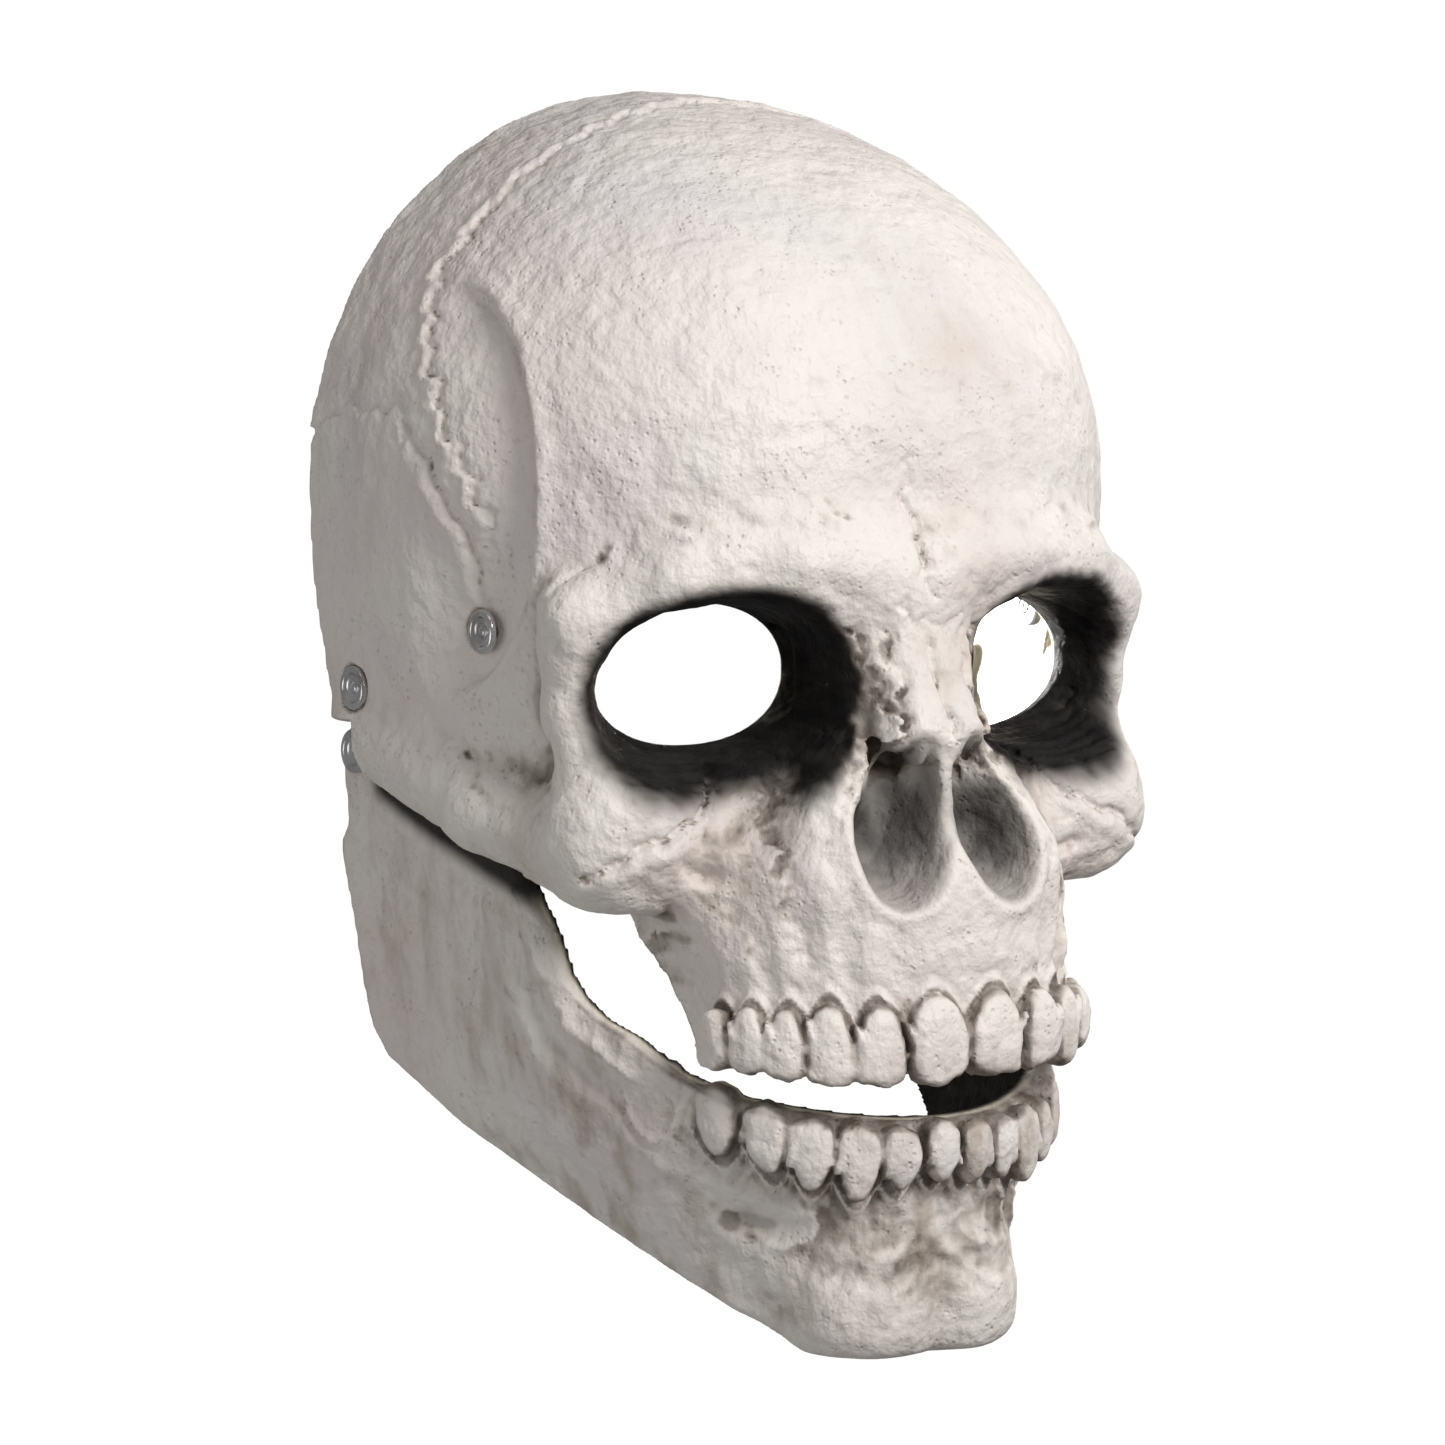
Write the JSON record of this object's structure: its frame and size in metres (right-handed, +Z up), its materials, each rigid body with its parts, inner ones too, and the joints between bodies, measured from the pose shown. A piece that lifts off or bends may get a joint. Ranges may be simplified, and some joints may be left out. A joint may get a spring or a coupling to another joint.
{
  "type": "wearable skull mask",
  "caption": "Open-backed latex skull mask with see-through eye sockets, modelled teeth and a lower jaw that swings on side snaps.",
  "frame": {"origin": "middle of the open back at ear level, in the plane where the shell is cut off", "axes": "+Z up, the face looks along -Y, +X toward the mask's own left"},
  "size_m": [0.164, 0.117, 0.2528],
  "materials": {
    "painted_latex": "matt, airbrushed bone with black sockets",
    "snap_metal": "polished",
    "washer_metal": "plain",
    "elastic_webbing": "woven",
    "foam": "open-cell foam"
  },
  "bodies": {
    "skull": {"upper_skull_shell": "painted_latex", "temple_snap_cap_right": "snap_metal", "temple_snap_washer_right": "washer_metal", "arch_snap_cap_right": "snap_metal", "arch_snap_washer_right": "washer_metal", "jaw_tab_right": "elastic_webbing", "temple_pad_right": "foam", "temple_snap_cap_left": "snap_metal", "temple_snap_washer_left": "washer_metal", "arch_snap_cap_left": "snap_metal", "arch_snap_washer_left": "washer_metal", "jaw_tab_left": "elastic_webbing", "temple_pad_left": "foam", "head_strap": "elastic_webbing", "forehead_pad": "foam"},
    "jaw": {"jaw_shell": "painted_latex", "chin_pad": "foam", "jaw_snap_cap_right": "snap_metal", "jaw_snap_cap_left": "snap_metal", "jaw_snap_washer_right": "washer_metal", "jaw_snap_washer_left": "washer_metal"}
  },
  "joints": [
    {"name": "jaw_hinge", "type": "hinge", "parent": "skull", "child": "jaw", "pos_m": [0, -0.0055, -0.004], "axis": [1, 0, 0], "range_deg": [-0.5, 18], "stiffness_Nm_per_rad": 0.6, "springref_deg": -5.16}
  ]
}
